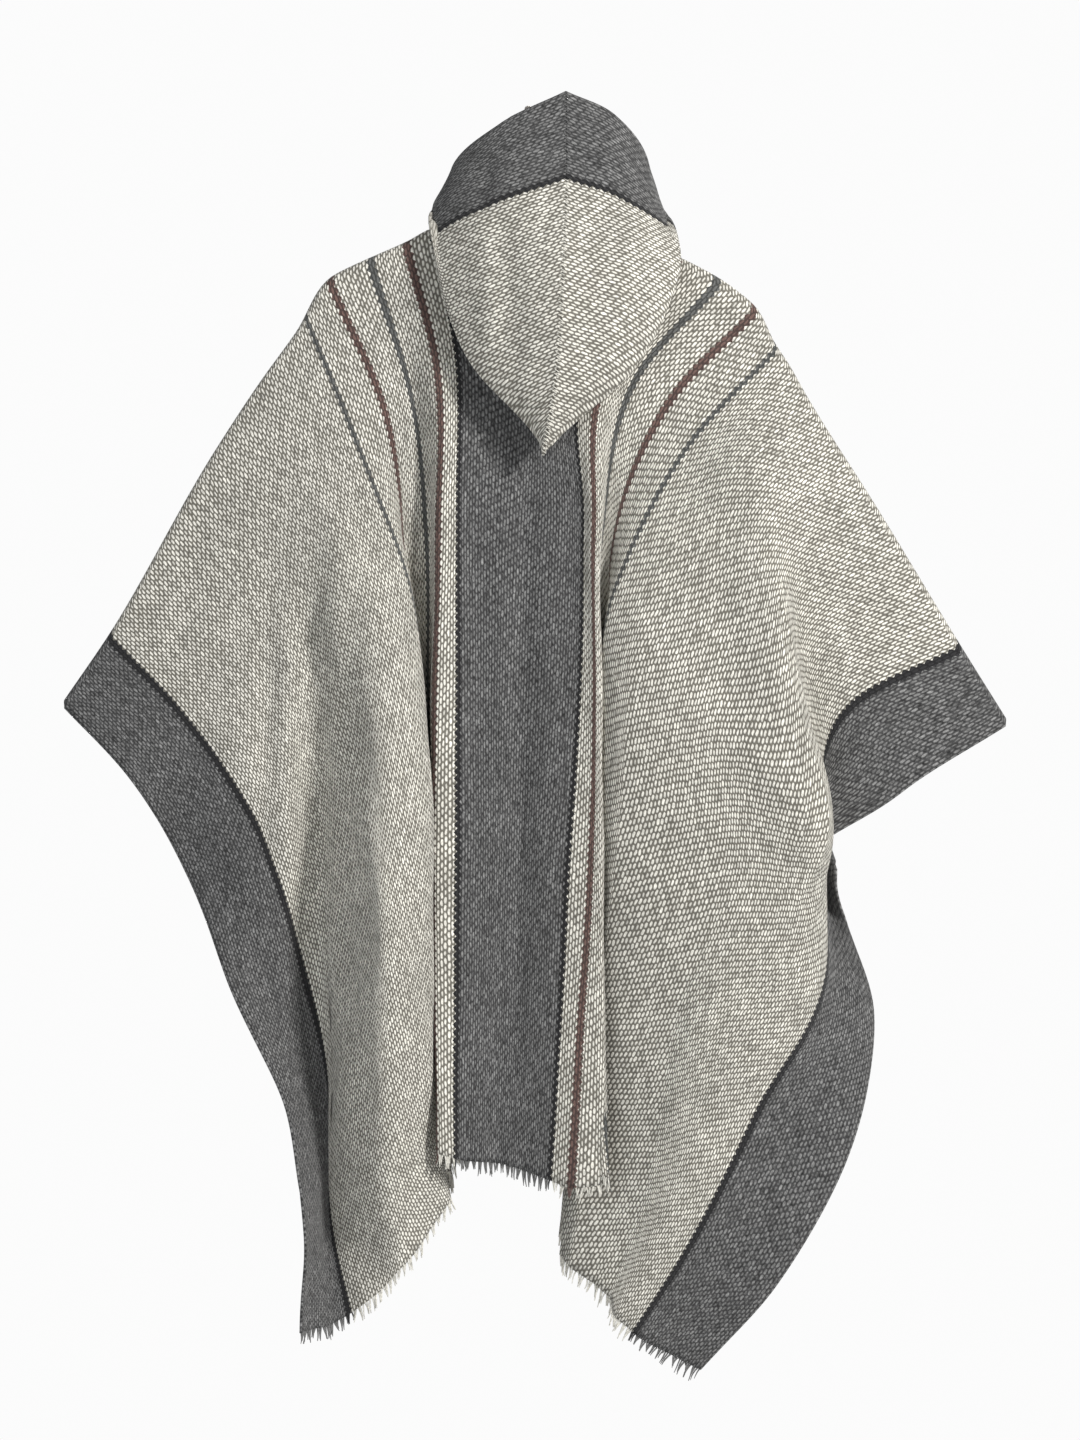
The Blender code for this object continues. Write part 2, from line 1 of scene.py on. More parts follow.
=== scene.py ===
"""Looks of a hooded, hand-woven wool poncho that hangs on a coat hanger, seen from its back.

Points are worked out in millimetres as (across, down, depth): across to the right of the person who
looks at the back, down from the hook's inner top, depth towards that person. place() turns them
into the model's metres. The seams, stripes and weave are laid out on the flat cloth.
"""

import math
from collections import namedtuple

import bpy
import numpy as np
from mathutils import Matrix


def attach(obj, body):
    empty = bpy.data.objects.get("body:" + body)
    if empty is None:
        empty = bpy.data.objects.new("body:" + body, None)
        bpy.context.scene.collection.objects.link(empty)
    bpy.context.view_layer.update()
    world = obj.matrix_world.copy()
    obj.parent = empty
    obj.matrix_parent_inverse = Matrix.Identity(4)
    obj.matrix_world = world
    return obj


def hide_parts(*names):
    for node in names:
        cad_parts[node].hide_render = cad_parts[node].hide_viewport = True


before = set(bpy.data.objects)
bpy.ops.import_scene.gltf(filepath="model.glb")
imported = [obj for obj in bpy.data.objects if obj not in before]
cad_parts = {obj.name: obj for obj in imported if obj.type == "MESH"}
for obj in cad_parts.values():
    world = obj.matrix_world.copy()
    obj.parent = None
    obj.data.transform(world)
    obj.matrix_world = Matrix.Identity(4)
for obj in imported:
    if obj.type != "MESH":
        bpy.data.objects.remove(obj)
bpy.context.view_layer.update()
MM = 0.001
rng = np.random.default_rng(7)


# CAMERA, LIGHT AND FLOOR
# A long lens, level, at the middle of the photograph's frame: 1 mm of cloth is one of its pixels.
# Studio light: a key lamp from the upper right, a wide fill from the left and one from the rear,
# in a pale room that is brighter to the camera than as a light.

CAMERA_AT = (-0.010, -6.04, -0.6145)
CAMERA_LENS = 150.0
FLOOR_DOWN = 2.3
FLOOR_SIZE = 9.0
ROOM_SEEN = (0.97, 0.97, 0.97)
ROOM_LIGHT = 0.28
FLOOR_PALE = (0.80, 0.84)
FLOOR_MOTTLE = 3.0
Lamp = namedtuple("Lamp", "name at aim size power colour")
LAMPS = (
    Lamp("key", (2.6, -2.3, 1.15), (0.0, 0.0, -0.60), 0.55, 150.0, (1.0, 0.985, 0.96)),
    Lamp("fill", (-2.2, -3.6, 0.1), (0.0, 0.0, -0.65), 2.2, 44.0, (0.94, 0.97, 1.0)),
    Lamp("rear", (0.4, 2.8, 1.1), (0.0, 0.0, -0.6), 2.0, 46.0, (1.0, 1.0, 1.0)),
)


def place(points):
    """(across, down, depth) in millimetres to the model's (x, y, z) in metres."""
    points = np.asarray(points, dtype=float)
    return np.stack((points[..., 0], -points[..., 2], -points[..., 1]), axis=-1) * MM


def add(tree, kind, feeds=None, **settings):
    """Adds a node, sets its properties, and connects or sets its inputs. Gives the node."""
    made = tree.nodes.new(kind)
    for key, value in settings.items():
        setattr(made, key, value)
    for key, value in (feeds or {}).items():
        if isinstance(value, bpy.types.NodeSocket):
            tree.links.new(value, made.inputs[key])
        else:
            made.inputs[key].default_value = value
    return made


def calc(tree, operation, first, second=0.0, third=0.0):
    """One math node's result."""
    return add(tree, "ShaderNodeMath", {0: first, 1: second, 2: third}, operation=operation).outputs[0]


def remap(tree, value, span, onto, clamp=True):
    """A value moved from one span of numbers onto another, in a straight line. Where clamp is
    set, it stays inside that other span."""
    feeds = {"Value": value, "From Min": span[0], "From Max": span[1], "To Min": onto[0], "To Max": onto[1]}
    return add(tree, "ShaderNodeMapRange", feeds, clamp=clamp).outputs["Result"]


def noise(tree, spot, scale, detail):
    """A noise texture's strength at a place."""
    feeds = {"Vector": spot, "Scale": scale, "Detail": detail}
    return add(tree, "ShaderNodeTexNoise", feeds).outputs["Fac"]


def stretch(tree, spot, scale):
    """A place with each of its numbers multiplied by its own scale."""
    return add(tree, "ShaderNodeMapping", {"Vector": spot, "Scale": scale}).outputs[0]


def finish_material(name, roughness=0.8, sheen=0.0, metallic=0.0):
    """A new material with its Principled shader. Gives the material, its tree and the shader."""
    made = bpy.data.materials.new(name)
    made.use_nodes = True
    shader = made.node_tree.nodes["Principled BSDF"]
    shader.inputs["Roughness"].default_value = roughness
    shader.inputs["Metallic"].default_value = metallic
    shader.inputs["Sheen Weight"].default_value = sheen
    shader.inputs["Sheen Roughness"].default_value = 0.6
    return made, made.node_tree, shader


camera = bpy.data.objects.new("camera", bpy.data.cameras.new("camera"))
bpy.context.collection.objects.link(camera)
camera.location = CAMERA_AT
camera.rotation_euler = (math.pi / 2, 0.0, 0.0)
camera.data.sensor_width = 36.0
camera.data.lens = CAMERA_LENS
camera.data.clip_end = 60.0
bpy.context.scene.camera = camera

for lamp in LAMPS:
    light = bpy.data.lights.new(lamp.name, "AREA")
    light.size = lamp.size
    light.energy = lamp.power
    light.color = lamp.colour
    holder = bpy.data.objects.new(lamp.name, light)
    bpy.context.collection.objects.link(holder)
    holder.location = lamp.at
    toward = np.array(lamp.aim) - np.array(lamp.at)
    flat_run = math.hypot(toward[0], toward[1])
    holder.rotation_euler = (math.pi / 2 + math.atan2(toward[2], flat_run), 0.0,
                             math.atan2(toward[1], toward[0]) - math.pi / 2)

world = bpy.data.worlds.new("room")
bpy.context.scene.world = world
world.use_nodes = True
room = world.node_tree
seen = add(room, "ShaderNodeLightPath").outputs["Is Camera Ray"]
strength = remap(room, seen, (0.0, 1.0), (ROOM_LIGHT, 1.0))
room.nodes["Background"].inputs["Color"].default_value = (*ROOM_SEEN, 1.0)
room.links.new(strength, room.nodes["Background"].inputs["Strength"])
bpy.context.scene.view_settings.view_transform = "Standard"

floor_mesh = bpy.data.meshes.new("floor")
corners = [(x * FLOOR_SIZE / 2, y * FLOOR_SIZE / 2, -FLOOR_DOWN)
           for x, y in ((-1, -1), (1, -1), (1, 1), (-1, 1))]
floor_mesh.from_pydata(corners, [], [(0, 1, 2, 3)])
floor = bpy.data.objects.new("floor", floor_mesh)
bpy.context.collection.objects.link(floor)
floor_paint, floor_tree, floor_shader = finish_material("floor_paint", 0.7)
mottle = add(floor_tree, "ShaderNodeTexNoise", {"Scale": FLOOR_MOTTLE, "Detail": 4.0}).outputs["Fac"]
mottle = remap(floor_tree, mottle, (0.0, 1.0), FLOOR_PALE)
floor_tree.links.new(mottle, floor_shader.inputs["Base Color"])
floor_mesh.materials.append(floor_paint)


# WOVEN CLOTH
# Hand-woven wool twill: long ovals of the paler warp in upright columns, each column a step lower
# than its neighbour, with dark weft dots between them. The stripes run with the warp.

COLUMN_PITCH = 0.0034
FLOAT_PITCH = 0.0078
FLOAT_STEP = -0.6
ZIGZAG = 0.0017
# Handspun yarn is uneven: how far floats stray, and the size, reach and power of each float's form
STRAY_SCALE = 130.0
STRAY_REACH = 0.0022
COLUMN_START = 0.16
FLOAT_WIDTH = (2.75, 2.2)
FLOAT_LENGTH = (2.35, 2.6)
FLOAT_SIZES = (-0.42, 0.22)
FLOAT_EDGE = (-0.25, 0.55)
# Loose fibres and odd-coloured wisps, then the slow change of shade over the cloth
FIBRE_SCALE = 900.0
FIBRE_RISE = 0.7
FIBRE_SHADE = 0.35
BRIGHT_FLECK = (0.78, 1.0)
DARK_FLECK = (0.0, 0.16)
WISP_SCALE = (430.0, 190.0, 1.0)
WISP_SPAN = (0.30, 0.72)
WISP_ONTO = (-1.6, 2.4)
TONE_SCALE = (9.0, 26.0, 1.0)
TONE_SPAN = (0.3, 0.7)
TONE_ONTO = (0.9, 1.08)
# How strongly a stripe's flecks tell, the darkest they go, and the relief of the cloth in metres
FLECK_LIFT = 0.9
FLECK_LEAST = 0.25
WEAVE_RELIEF = 0.0009
WEAVE_BUMP = 0.75
Stripe = namedtuple("Stripe", "start bright dark fleck")
PALE = ((0.80, 0.78, 0.71), (0.165, 0.155, 0.130), 0.12)
CHARCOAL = ((0.158, 0.158, 0.157), (0.044, 0.044, 0.045), 0.42)
BLACK = ((0.014, 0.014, 0.016), (0.006, 0.006, 0.007), 0.0)
BROWN = ((0.150, 0.088, 0.074), (0.062, 0.038, 0.033), 0.1)
GREY = ((0.125, 0.128, 0.124), (0.050, 0.052, 0.050), 0.1)
WEB_STRIPES = (
    Stripe(0, *CHARCOAL), Stripe(70.5, *BLACK), Stripe(77, *PALE), Stripe(97, *BROWN),
    Stripe(104, *PALE), Stripe(142, *GREY), Stripe(149, *PALE), Stripe(187, *BROWN),
    Stripe(194, *PALE), Stripe(232, *GREY), Stripe(239, *PALE), Stripe(608.5, *BLACK),
    Stripe(615, *CHARCOAL),
)
HOOD_STRIPES = (Stripe(0, *CHARCOAL), Stripe(92, *BLACK), Stripe(98, *PALE))


def stripe_ramp(tree, factor, stripes, reach, pick):
    """A ramp with a hard step at each stripe's start, its colour taken by pick."""
    ramp = add(tree, "ShaderNodeValToRGB", {"Fac": factor})
    ramp.color_ramp.interpolation = "CONSTANT"
    steps = ramp.color_ramp.elements
    while len(steps) > 1:
        steps.remove(steps[-1])
    for k, stripe in enumerate(stripes):
        step = steps[0] if k == 0 else steps.new(stripe.start / reach)
        step.position = stripe.start / reach
        step.color = (*pick(stripe), 1.0)
    return ramp.outputs["Color"]


def make_weave():
    """Node group. Place is the flat position in metres. Yarn is 1 on a pale float and 0 in the dark
    weft between floats, Height is the cloth's relief, Fleck marks odd fibres, Tone is slow
    change in the yarn's shade, and Wander is how far a stripe's edge steps aside."""
    group = bpy.data.node_groups.new("hand_weave", "ShaderNodeTree")
    group.interface.new_socket("Place", in_out="INPUT", socket_type="NodeSocketVector")
    for name in ("Yarn", "Height", "Fleck", "Tone", "Wander"):
        group.interface.new_socket(name, in_out="OUTPUT", socket_type="NodeSocketFloat")
    start = add(group, "NodeGroupInput").outputs["Place"]
    feeds = {"Vector": start, "Scale": STRAY_SCALE, "Detail": 2.0}
    stray = add(group, "ShaderNodeTexNoise", feeds).outputs["Color"]
    stray = add(group, "ShaderNodeVectorMath", {0: stray, 1: (0.5, 0.5, 0.5)}, operation="SUBTRACT").outputs[0]
    shift = add(group, "ShaderNodeVectorMath", {0: stray, "Scale": STRAY_REACH}, operation="SCALE").outputs[0]
    moved = add(group, "ShaderNodeVectorMath", {0: start, 1: shift}, operation="ADD").outputs[0]
    parts = add(group, "ShaderNodeSeparateXYZ", {0: moved}).outputs
    column = calc(group, "DIVIDE", parts[0], COLUMN_PITCH)
    whole = calc(group, "FLOOR", column)
    across = calc(group, "SUBTRACT", calc(group, "SUBTRACT", column, whole), 0.5)
    odd = add(group, "ShaderNodeTexWhiteNoise", {"W": whole}, noise_dimensions="1D").outputs["Value"]
    along = calc(group, "DIVIDE", parts[1], FLOAT_PITCH)
    along = calc(group, "ADD", along, calc(group, "MULTIPLY", whole, FLOAT_STEP))
    along = calc(group, "ADD", along, calc(group, "MULTIPLY", odd, COLUMN_START))
    pick = calc(group, "FLOOR", along)
    along = calc(group, "SUBTRACT", calc(group, "SUBTRACT", along, pick), 0.5)
    wide = calc(group, "MULTIPLY", calc(group, "ABSOLUTE", across), FLOAT_WIDTH[0])
    wide = calc(group, "POWER", wide, FLOAT_WIDTH[1])
    tall = calc(group, "MULTIPLY", calc(group, "ABSOLUTE", along), FLOAT_LENGTH[0])
    tall = calc(group, "POWER", tall, FLOAT_LENGTH[1])
    hump = calc(group, "SUBTRACT", 1.0, calc(group, "ADD", wide, tall))
    cell = add(group, "ShaderNodeCombineXYZ", {0: whole, 1: pick}).outputs[0]
    cell_odd = add(group, "ShaderNodeTexWhiteNoise", {"Vector": cell}, noise_dimensions="2D").outputs["Value"]
    hump = calc(group, "ADD", hump, remap(group, cell_odd, (0.0, 1.0), FLOAT_SIZES))
    yarn = remap(group, hump, FLOAT_EDGE, (0.0, 1.0))
    fibre = calc(group, "SUBTRACT", noise(group, start, FIBRE_SCALE, 3.0), 0.5)
    height = calc(group, "ADD", yarn, calc(group, "MULTIPLY", fibre, FIBRE_RISE))
    bright_fleck = remap(group, cell_odd, BRIGHT_FLECK, (0.0, 1.0))
    dark_fleck = remap(group, cell_odd, DARK_FLECK, (1.0, 0.0))
    wisp = noise(group, stretch(group, start, WISP_SCALE), 1.0, 2.0)
    wisp = remap(group, wisp, WISP_SPAN, WISP_ONTO, clamp=False)
    fleck = calc(group, "ADD", wisp, calc(group, "SUBTRACT", bright_fleck, dark_fleck))
    tone = noise(group, stretch(group, start, TONE_SCALE), 1.0, 3.0)
    tone = remap(group, tone, TONE_SPAN, TONE_ONTO)
    tone = calc(group, "ADD", tone, calc(group, "MULTIPLY", fibre, FIBRE_SHADE))
    tooth = calc(group, "PINGPONG", parts[1], FLOAT_PITCH / 2)
    wander = calc(group, "SUBTRACT", calc(group, "DIVIDE", tooth, FLOAT_PITCH / 2), 0.5)
    wander = calc(group, "MULTIPLY", wander, 2 * ZIGZAG)
    ends = add(group, "NodeGroupOutput").inputs
    results = {"Yarn": yarn, "Height": height, "Fleck": fleck, "Tone": tone, "Wander": wander}
    for name, value in results.items():
        group.links.new(value, ends[name])
    return group


weave_group = make_weave()


def make_cloth(name, stripes, reach):
    """Woven cloth with these stripes, read from the piece's UV: u is the flat distance across the
    stripes and v the flat distance along them, both in metres."""
    made, tree, shader = finish_material(name, 0.92, sheen=0.12)
    flat = add(tree, "ShaderNodeUVMap", uv_map="flat").outputs["UV"]
    weave = add(tree, "ShaderNodeGroup", {"Place": flat}, node_tree=weave_group).outputs
    across = calc(tree, "ABSOLUTE", add(tree, "ShaderNodeSeparateXYZ", {0: flat}).outputs[0])
    factor = calc(tree, "DIVIDE", calc(tree, "ADD", across, weave["Wander"]), reach * MM)
    bright = stripe_ramp(tree, factor, stripes, reach, lambda s: s.bright)
    dark = stripe_ramp(tree, factor, stripes, reach, lambda s: s.dark)
    flecked = stripe_ramp(tree, factor, stripes, reach, lambda s: (s.fleck,) * 3)
    feeds = {"Factor": weave["Yarn"], 6: dark, 7: bright}
    colour = add(tree, "ShaderNodeMix", feeds, data_type="RGBA").outputs[2]
    lift = calc(tree, "MULTIPLY", flecked, weave["Fleck"])
    lift = calc(tree, "MULTIPLY_ADD", lift, FLECK_LIFT, 1.0)
    lift = calc(tree, "MAXIMUM", lift, FLECK_LEAST)
    lift = calc(tree, "MULTIPLY", lift, weave["Tone"])
    colour = add(tree, "ShaderNodeVectorMath", {0: colour, "Scale": lift}, operation="SCALE").outputs[0]
    tree.links.new(colour, shader.inputs["Base Color"])
    feeds = {"Height": weave["Height"], "Strength": WEAVE_BUMP, "Distance": WEAVE_RELIEF}
    tree.links.new(add(tree, "ShaderNodeBump", feeds).outputs["Normal"], shader.inputs["Normal"])
    tree.links.new(remap(tree, weave["Yarn"], (0.0, 1.0), (0.98, 0.86)), shader.inputs["Roughness"])
    return made


def smooth(knots, values, at):
    """A smooth curve through values at knots: cubic pieces whose slope at a knot is the mean of
    the slopes on its two sides, weighted by the other side's length."""
    knots = np.asarray(knots, dtype=float)
    values = np.asarray(values, dtype=float)
    at = np.asarray(at, dtype=float)
    steps = np.diff(knots)
    slopes = np.diff(values, axis=0) / steps[:, None]
    tangents = np.empty_like(values)
    tangents[0] = slopes[0]
    tangents[-1] = slopes[-1]
    weight = steps[:-1] + steps[1:]
    tangents[1:-1] = (slopes[:-1] * steps[1:, None] + slopes[1:] * steps[:-1, None]) / weight[:, None]
    piece = np.clip(np.searchsorted(knots, at, side="right") - 1, 0, len(knots) - 2)
    step = steps[piece][:, None]
    f = ((at - knots[piece]) / steps[piece])[:, None]
    return ((2 * f**3 - 3 * f**2 + 1) * values[piece] + (f**3 - 2 * f**2 + f) * step * tangents[piece]
            + (3 * f**2 - 2 * f**3) * values[piece + 1] + (f**3 - f**2) * step * tangents[piece + 1])


def grid_normals(grid):
    """Unit normals of a grid surface, from the differences of neighbouring points."""
    normal = np.cross(np.gradient(grid, axis=1), np.gradient(grid, axis=0))
    return normal / np.maximum(np.linalg.norm(normal, axis=2, keepdims=True), 1e-9)


def add_piece(name, points, faces, finish, uv=None, thick=0.0):
    """A smooth mesh piece from points in (across, down, depth) and an (n, 4) or (n, 3) face array,
    with an optional flat (u, v) in metres for each point and a wall thickness in metres."""
    faces = np.asarray(faces, dtype=np.int32)
    mesh = bpy.data.meshes.new(name)
    mesh.vertices.add(len(points))
    mesh.vertices.foreach_set("co", place(points).astype(np.float32).ravel())
    mesh.loops.add(faces.size)
    mesh.loops.foreach_set("vertex_index", faces.ravel())
    mesh.polygons.add(len(faces))
    mesh.polygons.foreach_set("loop_start", np.arange(0, faces.size, faces.shape[1], dtype=np.int32))
    mesh.update(calc_edges=True)
    mesh.validate()
    if uv is not None:
        layer = mesh.uv_layers.new(name="flat")
        layer.data.foreach_set("uv", np.asarray(uv, dtype=np.float32)[faces.ravel()].ravel())
    mesh.materials.append(finish)
    mesh.shade_smooth()
    made = bpy.data.objects.new(name, mesh)
    bpy.context.collection.objects.link(made)
    if thick:
        wall = made.modifiers.new("wall", "SOLIDIFY")
        wall.thickness = thick
        wall.offset = 0.0
    return made


def grid_faces(index):
    """Quads of a grid of point numbers."""
    return np.stack((index[:-1, :-1], index[:-1, 1:], index[1:, 1:], index[1:, :-1]), axis=-1).reshape(-1, 4)


# THE WEB: BACK AND FRONT
# One cloth 1.43 m wide and 1.89 m long, folded over the arms of the hanger, with a slit for the
# neck. It is a thin shell on the solids' form, with the photograph's smaller creases laid in.

CLOTH = 2.4
WEB_HALF = 713.0
WEB_DROP = 945.0
FOLD_RADIUS = 8.0
DEPTH_LEAST = 6.0
NECK_HALF = 78.0
NECK_OPEN = 20.0
NECK_SLIT = 95.0
NECK_FADE = 60.0
SECTIONS = (0.0, 130.0, 290.0, 460.0, 640.0, 800.0, 945.0)
Fold = namedtuple("Fold", "name web across down depth")
FOLDS = (
    Fold("left_selvedge", (-713, -713, -713, -713, -713, -713, -713),
         (-488, -423, -362, -317, -259, -243, -249),
         (595, 670, 773, 885, 1008, 1128, 1223),
         (0, 40, 25, 72, 84, 92, 84)),
    Fold("left_border", (-612, -612, -612, -612, -612, -612, -612),
         (-441, -372, -298, -254, -222, -220, -200),
         (526, 605, 711, 838, 978, 1107, 1208),
         (0, 26, 52, 34, 30, 32, 42)),
    Fold("left_valley", (-400, -400, -430, -555, -588, -590, -588),
         (-335, -273, -223, -222, -216, -214, -182),
         (342, 450, 601, 800, 963, 1095, 1195),
         (0, 30, 34, 32, 34, 36, 50)),
    Fold("left_crest", (-320, -320, -335, -410, -455, -490, -520),
         (-291, -235, -181, -170, -166, -162, -145),
         (275, 392, 540, 745, 908, 1044, 1156),
         (0, 34, 64, 102, 110, 88, 60)),
    Fold("left_fold_edge", (-260, -240, -240, -290, -350, -400, -432),
         (-255, -197, -141, -119, -117, -113, -100),
         (225, 334, 487, 692, 872, 1015, 1088),
         (0, 26, 40, 58, 58, 36, 26)),
    Fold("left_inner_turn", (-190, -180, -182, -192, -225, -255, -280),
         (-219, -162, -144, -135, -192, -216, -228),
         (169, 288, 443, 618, 800, 965, 1110),
         (0, 18, 15, 16, 18, 18, 18)),
    Fold("left_under", (-166, -160, -160, -162, -166, -169, -172),
         (-198, -150, -132, -128, -133, -124, -110),
         (158, 280, 434, 602, 777, 933, 1066),
         (0, 17, 13, 11, 9, 9, 9)),
    Fold("left_wall_foot", (-145, -140, -140, -140, -140, -140, -140),
         (-178, -139, -121, -120, -112, -98, -82),
         (149, 273, 425, 588, 760, 915, 1050),
         (0, 16, 12, 12, 14, 20, 28)),
    Fold("left_brown_ridge", (-100, -100, -100, -100, -100, -100, -100),
         (-142, -112, -110, -114, -117, -115, -112),
         (133, 258, 415, 577, 752, 905, 1046),
         (0, 30, 36, 42, 48, 56, 64)),
    Fold("centre_left", (-75, -75, -75, -75, -75, -75, -75),
         (-116, -93, -92, -92, -92, -93, -94),
         (120, 247, 403, 573, 750, 908, 1052),
         (0, 27, 30, 35, 42, 50, 58)),
    Fold("centre", (0, 0, 0, 0, 0, 0, 0),
         (10, -14, -26, -32, -37, -42, -47),
         (160, 268, 414, 578, 755, 914, 1058),
         (0, 20, 23, 27, 34, 42, 48)),
    Fold("centre_right", (75, 75, 75, 75, 75, 75, 75),
         (105, 34, 33, 29, 17, 9, -1),
         (135, 259, 417, 585, 763, 925, 1073),
         (0, 27, 30, 36, 45, 54, 60)),
    Fold("right_brown_ridge", (100, 100, 100, 100, 100, 100, 100),
         (127, 54, 43, 44, 39, 28, 19),
         (148, 267, 420, 588, 768, 930, 1080),
         (0, 28, 36, 43, 52, 62, 68)),
    Fold("strip_edge", (125, 116, 118, 120, 130, 140, 150),
         (147, 67, 49, 50, 52, 54, 62),
         (158, 269, 423, 593, 775, 940, 1072),
         (0, 26, 33, 42, 52, 62, 68)),
    Fold("right_wall_foot", (155, 146, 145, 150, 158, 178, 208),
         (175, 87, 52, 50, 34, 14, -6),
         (174, 269, 427, 600, 780, 938, 1060),
         (0, 18, 15, 16, 30, 35, 36)),
    Fold("right_under", (172, 163, 163, 170, 180, 206, 238),
         (190, 100, 56, 62, 52, 36, 16),
         (185, 277, 433, 606, 785, 942, 1070),
         (0, 17, 13, 12, 10, 9, 9)),
    Fold("right_inner_turn", (190, 180, 182, 192, 245, 290, 338),
         (204, 114, 61, 78, 112, 120, 122),
         (197, 285, 440, 612, 800, 957, 1108),
         (0, 16, 14, 14, 17, 18, 18)),
    Fold("right_fold_edge", (240, 240, 240, 270, 330, 400, 455),
         (227, 145, 66, 49, 42, 27, 9),
         (238, 335, 487, 670, 855, 1010, 1150),
         (0, 24, 34, 36, 30, 25, 26)),
    Fold("right_panel", (262, 300, 400, 430, 450, 500, 530),
         (239, 174, 168, 172, 122, 100, 60),
         (256, 368, 596, 760, 922, 1068, 1190),
         (0, 34, 62, 74, 68, 60, 54)),
    Fold("right_ridge", (300, 385, 562, 545, 540, 560, 575),
         (256, 218, 276, 246, 166, 118, 65),
         (286, 427, 705, 838, 965, 1100, 1210),
         (0, 48, 62, 74, 76, 68, 58)),
    Fold("right_tuck", (450, 480, 590, 590, 590, 595, 598),
         (330, 252, 268, 268, 194, 136, 77),
         (404, 499, 697, 860, 993, 1120, 1220),
         (0, 26, 34, 62, 70, 64, 56)),
    Fold("right_border", (612, 612, 612, 612, 612, 612, 612),
         (410, 303, 268, 274, 206, 144, 83),
         (536, 599, 712, 872, 1005, 1129, 1226),
         (0, 20, 16, 50, 62, 60, 52)),
    Fold("right_selvedge", (713, 713, 713, 713, 713, 713, 713),
         (458, 355, 290, 325, 297, 227, 151),
         (613, 686, 769, 910, 1053, 1178, 1266),
         (0, 18, 24, 12, 40, 44, 22)),
)
TUCK_ACROSS = 40.0
TUCK_DOWN = 14.0
TUCK_AT = 212.0
TUCK_LENGTH = 38.0
FRONT_DEPTH = 0.78
FRONT_INSET = 0.975
FRONT_RISE = 0.985
FRONT_MIDDLE = -20.0
COLUMN_WIDTH = 7.0
FOLD_STEPS = 4
DROP_ROWS = 104

# Soft creases on the cloth: start and end are (across, down) as it hangs, rise is along its normal
CREASE_FADE = 0.6
Crease = namedtuple("Crease", "name start end width rise")
CREASES = (
    Crease("left_ridge", (-212, 400), (-214, 1090), 13, 6.0),
    Crease("left_trough", (-238, 380), (-243, 1080), 16, -6.5),
    Crease("left_outer_ridge", (-264, 470), (-262, 900), 10, 3.5),
    Crease("left_outer_trough", (-282, 455), (-284, 770), 12, -5.0),
    Crease("left_shoulder", (-250, 330), (-330, 560), 26, -4.5),
    Crease("left_inner_trough", (-176, 560), (-172, 1050), 14, -4.0),
    Crease("left_hem_ridge", (-150, 860), (-160, 1120), 13, 4.0),
    Crease("centre_trough", (-25, 330), (-34, 1040), 9, -5.5),
    Crease("centre_ridge_left", (-55, 420), (-62, 1000), 10, 2.5),
    Crease("centre_ridge_right", (4, 380), (-8, 1000), 12, 3.0),
    Crease("right_ridge", (199, 279), (258, 625), 13, 6.0),
    Crease("right_low_ridge", (258, 625), (298, 815), 12, 5.0),
    Crease("right_trough", (164, 400), (206, 780), 20, -5.0),
    Crease("right_shoulder", (240, 300), (330, 470), 24, -4.5),
    Crease("right_panel_ridge", (78, 460), (84, 900), 12, 4.0),
    Crease("right_panel_trough", (112, 560), (118, 1010), 17, -4.5),
    Crease("right_hem_trough", (60, 1000), (52, 1150), 14, -5.0),
)
FRONT_CREASE = 0.6
# Small waves over the cloth: their rise, and the lengths of a broad, a crossing and a fine one
RIPPLE = 1.3
RIPPLE_FROM = 60.0
RIPPLE_OVER = 160.0
BROAD_ACROSS, BROAD_DOWN, BROAD_START = 23.0, 61.0, 1.3
CROSS_ACROSS, CROSS_DOWN = 83.0, 47.0
FINE_ACROSS, FINE_DOWN, FINE_SHARE = 11.0, 130.0, 0.6
HEM_RIPPLE = 1.5
HEM_FADE = 70.0
HEM_WAVE = 9.5
HEM_WANDER, HEM_WANDER_LENGTH = 2.0, 61.0
FREE_OVER = 12.0


def fold_lines(front):
    """Each fold's (web, across, down, depth) at each section. On the front it is set in towards
    the middle, raised and flattened."""
    lines = np.array([np.column_stack((f.web, f.across, f.down, f.depth)) for f in FOLDS], dtype=float)
    if front:
        shoulder = lines[:, :1]
        hang = np.clip(np.array(SECTIONS) / SECTIONS[2], 0.0, 1.0)[None, :]
        inset = FRONT_MIDDLE + (lines[:, :, 1] - FRONT_MIDDLE) * FRONT_INSET
        lines[:, :, 1] += (inset - lines[:, :, 1]) * hang
        raised = shoulder[:, :, 2] + (lines[:, :, 2] - shoulder[:, :, 2]) * FRONT_RISE
        lines[:, :, 2] += (raised - lines[:, :, 2]) * hang
        lines[:, :, 3] *= FRONT_DEPTH
    return lines


